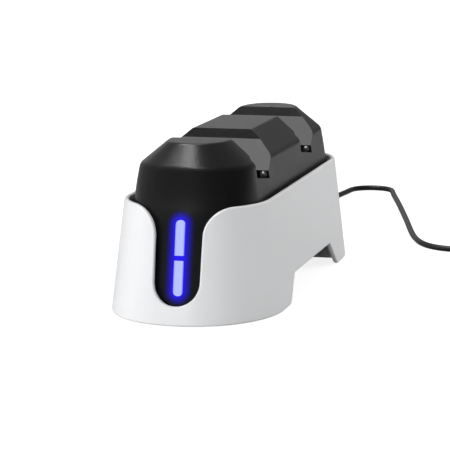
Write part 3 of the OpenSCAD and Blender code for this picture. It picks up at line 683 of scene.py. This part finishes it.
def build_cap_table(count=400):
    """Length along the rounded end at the floor, from the side (angle 0) to its middle (90 degrees)."""
    last = None
    total = 0.0
    for i in range(count + 1):
        t = math.pi / 2 * i / count
        q = Vector((HALF_W * math.cos(t) ** (2 / CAP_POWER) if i < count else 0.0,
                    END_DEPTH * math.sin(t) ** (2 / CAP_POWER)))
        total += (q - last).length if last is not None else 0.0
        CAP_TABLE.append((t, total))
        last = q


build_cap_table()
CAP_RUN = CAP_TABLE[-1][1]
HALF_ROUND = 2 * CAP_RUN + 2 * STRAIGHT


def run_of_angle(t):
    f = t / (math.pi / 2) * (len(CAP_TABLE) - 1)
    i = min(int(f), len(CAP_TABLE) - 2)
    return CAP_TABLE[i][1] + (CAP_TABLE[i + 1][1] - CAP_TABLE[i][1]) * (f - i)


def angle_of_run(s):
    lo, hi = 0, len(CAP_TABLE) - 1
    while hi - lo > 1:
        mid = (lo + hi) // 2
        if CAP_TABLE[mid][1] <= s:
            lo = mid
        else:
            hi = mid
    a, b = CAP_TABLE[lo], CAP_TABLE[hi]
    return a[0] + (b[0] - a[0]) * (s - a[1]) / (b[1] - a[1])


def wrap(s, depth, z):
    """A point of the flat strip, bent round the plan: s from the front's middle, depth into the wall."""
    w = HALF_W - z * TAN_SIDE - depth
    cap = END_DEPTH - z * TAN_END - depth
    side = -1.0 if s < 0 else 1.0
    s = min(abs(s), HALF_ROUND)
    if s < CAP_RUN:
        t, end = angle_of_run(CAP_RUN - s), -1.0
    elif s > CAP_RUN + 2 * STRAIGHT:
        t, end = angle_of_run(s - CAP_RUN - 2 * STRAIGHT), 1.0
    else:
        return Vector((side * w, s - CAP_RUN - STRAIGHT, z))
    c, q = max(math.cos(t), 0.0), max(math.sin(t), 0.0)
    if t > math.pi / 2 - 1e-6:
        c = 0.0
    return Vector((side * w * c ** (2 / CAP_POWER), end * (STRAIGHT + cap * q ** (2 / CAP_POWER)), z))


def fillet(points, radii, spacing):
    """An open line with its corners rounded."""
    out = [Vector(points[0])]
    for k in range(1, len(points) - 1):
        a, b, c = Vector(points[k - 1]), Vector(points[k]), Vector(points[k + 1])
        r = radii[k]
        if not r:
            out.append(b)
            continue
        u, v = (a - b).normalized(), (c - b).normalized()
        half = u.angle(v) / 2
        reach = r / math.tan(half)
        centre = b + (u + v).normalized() * (r / math.sin(half))
        start, end = b + u * reach, b + v * reach
        sweep = math.pi - 2 * half
        count = max(3, int(r * sweep / spacing))
        da, dc = start - centre, end - centre
        for i in range(count + 1):
            f = i / count
            w0 = math.sin((1 - f) * sweep) / math.sin(sweep)
            w1 = math.sin(f * sweep) / math.sin(sweep)
            out.append(centre + da * w0 + dc * w1)
    return out + [Vector(points[-1])]


def make_shell():
    """One flat strip with the notch, the underpass and the cord's hole in it, bent round the plan."""
    (high_x, high_r), (low_x, low_r) = NOTCH_TOP, NOTCH_FOOT
    rim = fillet([(34, RIM_Z), (high_x, RIM_Z), (low_x, NOTCH_FOOT_Z), (-low_x, NOTCH_FOOT_Z), (-high_x, RIM_Z),
                  (-34, RIM_Z)], [0, high_r, low_r, low_r, high_r, 0], 0.9)
    top = []
    for x, z in rim:
        w = HALF_W - z * TAN_SIDE
        t = math.acos(min(abs(x) / w, 1.0) ** (CAP_POWER / 2))
        top.append((math.copysign(CAP_RUN - run_of_angle(t), x), z))
    (foot, foot_r), (crown, crown_r) = UNDERPASS
    arch = fillet([(-60, SHELL_LIFT), (-foot, SHELL_LIFT), (-crown, UNDERPASS_Z), (crown, UNDERPASS_Z),
                   (foot, SHELL_LIFT), (60, SHELL_LIFT)], [0, foot_r, crown_r, crown_r, foot_r, 0], 0.9)
    mid = CAP_RUN + STRAIGHT
    hole = [(CORD_HOLE_R * math.sin(math.pi * i / 10), RELIEF_Z - CORD_HOLE_R * math.cos(math.pi * i / 10))
            for i in range(11)]
    points = [(-HALF_ROUND, SHELL_LIFT)]
    points += [(-mid + y, z) for y, z in arch]
    points += [(mid + y, z) for y, z in arch]
    points += [(HALF_ROUND, SHELL_LIFT)]
    points += [(HALF_ROUND - a, z) for a, z in hole]
    points += [(HALF_ROUND, RIM_Z)]
    points += top
    points += [(-HALF_ROUND, RIM_Z)]
    points += [(-HALF_ROUND + a, z) for a, z in reversed(hole)]
    bm = bmesh.new()
    push_out(bm, [bm.verts.new((s, 0.0, z)) for s, z in points], (0, SHELL_WALL, 0))
    seam = [f for f in bm.faces if all(abs(abs(v.co.x) - HALF_ROUND) < 1e-3 for v in f.verts)]
    bmesh.ops.delete(bm, geom=seam, context="FACES_ONLY")
    rims = [e for e in bm.edges if len(e.link_faces) == 2 and e.calc_face_angle(0.0) > 1.2
            and abs(e.verts[0].co.y - e.verts[1].co.y) < 1e-6
            and not all(abs(v.co.x) > HALF_ROUND - 4 and 1 < v.co.z < 20 for v in e.verts)]
    bmesh.ops.bevel(bm, geom=rims, affect="EDGES", offset=0.8, segments=3, profile=0.5, material=-1,
                    clamp_overlap=False)
    columns = []
    steps = 34
    for i in range(1, steps + 1):
        columns += [CAP_RUN * i / steps, CAP_RUN + 2 * STRAIGHT + CAP_RUN * (i - 1) / steps]
    columns += [CAP_RUN + 2 * STRAIGHT * i / 6 for i in range(1, 6)]
    for s in sorted(set(columns)) + [0.0]:
        for side in ((1, -1) if s else (1,)):
            bmesh.ops.bisect_plane(bm, geom=list(bm.verts) + list(bm.edges) + list(bm.faces), dist=1e-5,
                                   plane_co=(side * s, 0, 0), plane_no=(1, 0, 0))
    for v in bm.verts:
        v.co = wrap(v.co.x, v.co.y, v.co.z) * MM
    bmesh.ops.remove_doubles(bm, verts=bm.verts, dist=1e-6)
    bmesh.ops.recalc_face_normals(bm, faces=bm.faces)
    shell = to_object("shell_moulding", bm)
    finish_piece(shell, "dock", "white_shell", white_abs, "outer_shell", sharp=50)


make_body()
make_shell()


# ---- springs for the pins and catch balls ----
WIRE_R = 0.18


def make_spring(name, start, way, length, r, turns):
    """A coil from start, its held end, along way."""
    steps = 16 * turns
    bm = bmesh.new()
    made = bmesh.ops.create_circle(bm, segments=8, radius=WIRE_R)["verts"]
    turn(bm, made, (0, 0, 1), (0, 1, 0))
    bmesh.ops.translate(bm, verts=made, vec=(r, 0, WIRE_R))
    loop = list(bm.edges)
    first = bmesh.ops.contextual_create(bm, geom=loop)["faces"]
    bmesh.ops.spin(bm, geom=list(bm.verts) + loop + first, cent=(0, 0, 0), axis=(0, 0, 1), angle=math.tau * turns,
                   dvec=(0, 0, (length - 2 * WIRE_R) / steps), steps=steps, use_duplicate=False)
    turn(bm, bm.verts, (0, 0, 1), way)
    bmesh.ops.scale(bm, verts=bm.verts, vec=(MM, MM, MM))
    bmesh.ops.translate(bm, verts=bm.verts, vec=Vector(start) * MM)
    bmesh.ops.recalc_face_normals(bm, faces=bm.faces)
    spring = to_object(name + "_coil", bm)
    finish_piece(spring, "dock", "spring_steel", spring_wire, name.replace("_ball", "") + "_spring", sharp=60)
    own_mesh(spring)


for end, front in zip(("front", "rear"), BAY_FRONTS):
    for side, sign in (("left", -1), ("right", 1)):
        make_spring(end + "_" + side + "_pin", (sign * PIN_X, front + PIN_Y, TOP_Z - PIN_SPRING_D),
                    way=(0, 0, 1), length=4.56, r=0.9, turns=4)
        make_spring(end + "_" + side + "_catch_ball", (sign * CATCH_X, front + CATCH_BACK, TOP_Z - CATCH_D),
                    way=(0, -1, 0), length=5.26, r=1.05, turns=5)

# ---- studio ----
def looked_at(tree):
    """1 where the camera sees the surface itself, or sees it through glass."""
    rays = tree.nodes.new("ShaderNodeLightPath").outputs
    return maths(tree, "ADD", rays["Is Camera Ray"], rays["Is Transmission Ray"], clamp=True)


floor_mat = bpy.data.materials.new("floor")
floor_mat.use_nodes = True
t = floor_mat.node_tree
bsdf = t.nodes["Principled BSDF"]
bsdf.inputs["Base Color"].default_value = (0.42, 0.42, 0.42, 1)
bsdf.inputs["Roughness"].default_value = 0.9
bsdf.inputs["Specular IOR Level"].default_value = 0.0
bsdf.inputs["Emission Color"].default_value = (1, 1, 1, 1)
t.links.new(maths(t, "MULTIPLY", looked_at(t), 0.84), bsdf.inputs["Emission Strength"])
bm = bmesh.new()
bmesh.ops.create_grid(bm, x_segments=4, y_segments=4, size=30.0)
floor = to_object("floor", bm)
floor.data.materials.append(floor_mat)

world = bpy.data.worlds.new("studio")
bpy.context.scene.world = world
world.use_nodes = True
t = world.node_tree
background = t.nodes["Background"]
direction = t.nodes.new("ShaderNodeTexCoord").outputs["Generated"]
xyz = t.nodes.new("ShaderNodeSeparateXYZ")
t.links.new(direction, xyz.inputs[0])
# brighter above, behind and to the left than to the right
to_right, to_rear, to_top = (maths(t, "MULTIPLY", xyz.outputs[way], share)
                             for way, share in (("X", 0.105), ("Y", 0.06), ("Z", 0.16)))
level = maths(t, "ADD", 0.11, maths(t, "ADD", to_rear, to_top))
level = maths(t, "SUBTRACT", level, to_right, clamp=True)
strength = t.nodes.new("ShaderNodeMix")
strength.data_type = "FLOAT"
t.links.new(looked_at(t), strength.inputs["Factor"])
t.links.new(level, strength.inputs["A"])
strength.inputs["B"].default_value = 1.0
t.links.new(strength.outputs["Result"], background.inputs["Strength"])
background.inputs["Color"].default_value = (1, 1, 1, 1)


def softbox(name, location, at, size, power, glossy=True, diffuse=True):
    data = bpy.data.lights.new(name, "AREA")
    data.shape = "RECTANGLE"
    data.size, data.size_y = size
    data.energy = power
    lamp = bpy.data.objects.new(name, data)
    bpy.context.scene.collection.objects.link(lamp)
    lamp.location = location
    lamp.visible_camera = False
    lamp.visible_glossy = glossy
    lamp.visible_diffuse = diffuse
    aim(lamp, at)


softbox("key", (-2.0, 0.0, 0.6), (0, 0, 0.03), (1.2, 1.2), 20.0, glossy=False)
softbox("front", (-0.2, -1.92, 0.5), (0, 0, 0.03), (1.0, 1.0), 25.0, glossy=False)
softbox("right", (1.4, 1.35, 0.6), (0, 0, 0.03), (1.0, 1.0), 29.0, glossy=False)
softbox("top", (-0.35, 0.36, 1.7), (0, 0, 0.03), (1.3, 0.8), 8.6)
softbox("front_top", (-0.44, -0.4, 1.46), (0, -0.09, 0.07), (1.4, 0.28), 13.5, diffuse=False)
softbox("back", (-1.0, 2.4, 0.6), (0, 0, 0.06), (1.6, 0.6), 0.9, diffuse=False)

bpy.context.view_layer.update()
